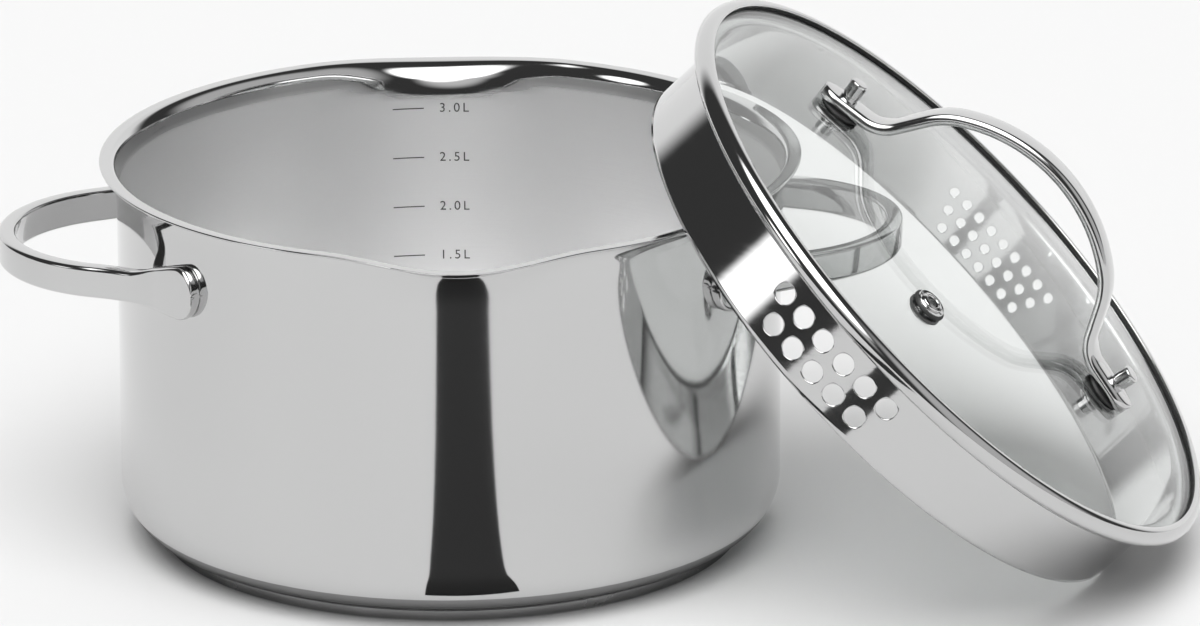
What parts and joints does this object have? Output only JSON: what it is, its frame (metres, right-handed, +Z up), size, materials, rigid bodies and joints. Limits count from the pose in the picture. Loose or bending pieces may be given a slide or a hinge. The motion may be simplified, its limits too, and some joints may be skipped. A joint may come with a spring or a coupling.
{
  "type": "cooking pot with glass straining lid",
  "caption": "Round steel pot with pouring spouts, two strap handles and a capsule base; a domed glass lid with a perforated skirt leans on its rim.",
  "frame": {"origin": "centre of the pot's underside, on the surface it stands on", "axes": "+Z up along the pot's axis; +X through the right handle, towards the lid; +Y through the rear pouring spout"},
  "size_m": [0.3651, 0.2489, 0.1654],
  "materials": {
    "pot_steel": "mirror polished outside, satin inside",
    "polished_steel": "polished",
    "base_steel": "turned",
    "core_aluminium": "rolled",
    "lid_steel": "polished",
    "lid_handle_steel": "polished",
    "bolt_steel": "polished",
    "tempered_glass": "clear",
    "silicone": "matte"
  },
  "bodies": {
    "pot": {"pot_body": "pot_steel", "base_core": "core_aluminium", "base_cap": "base_steel", "left_handle": "polished_steel", "right_handle": "polished_steel"},
    "lid": {"lid_rim": "lid_steel", "lid_glass": "tempered_glass", "glass_seal": "silicone", "vent_eyelet": "polished_steel", "vent_upper_gasket": "silicone", "vent_lower_gasket": "silicone", "lid_handle": "lid_handle_steel", "upper_cap_nut": "bolt_steel", "upper_outer_seat": "silicone", "upper_inner_gasket": "silicone", "upper_inner_washer": "bolt_steel", "upper_screw": "bolt_steel", "lower_cap_nut": "bolt_steel", "lower_outer_seat": "silicone", "lower_inner_gasket": "silicone", "lower_inner_washer": "bolt_steel", "lower_screw": "bolt_steel"}
  },
  "joints": [
    {"name": "lid_lift", "type": "slide", "parent": "pot", "child": "lid", "axis": [0.6902, -0.148, 0.7083], "range_m": [0, 0.12]}
  ]
}
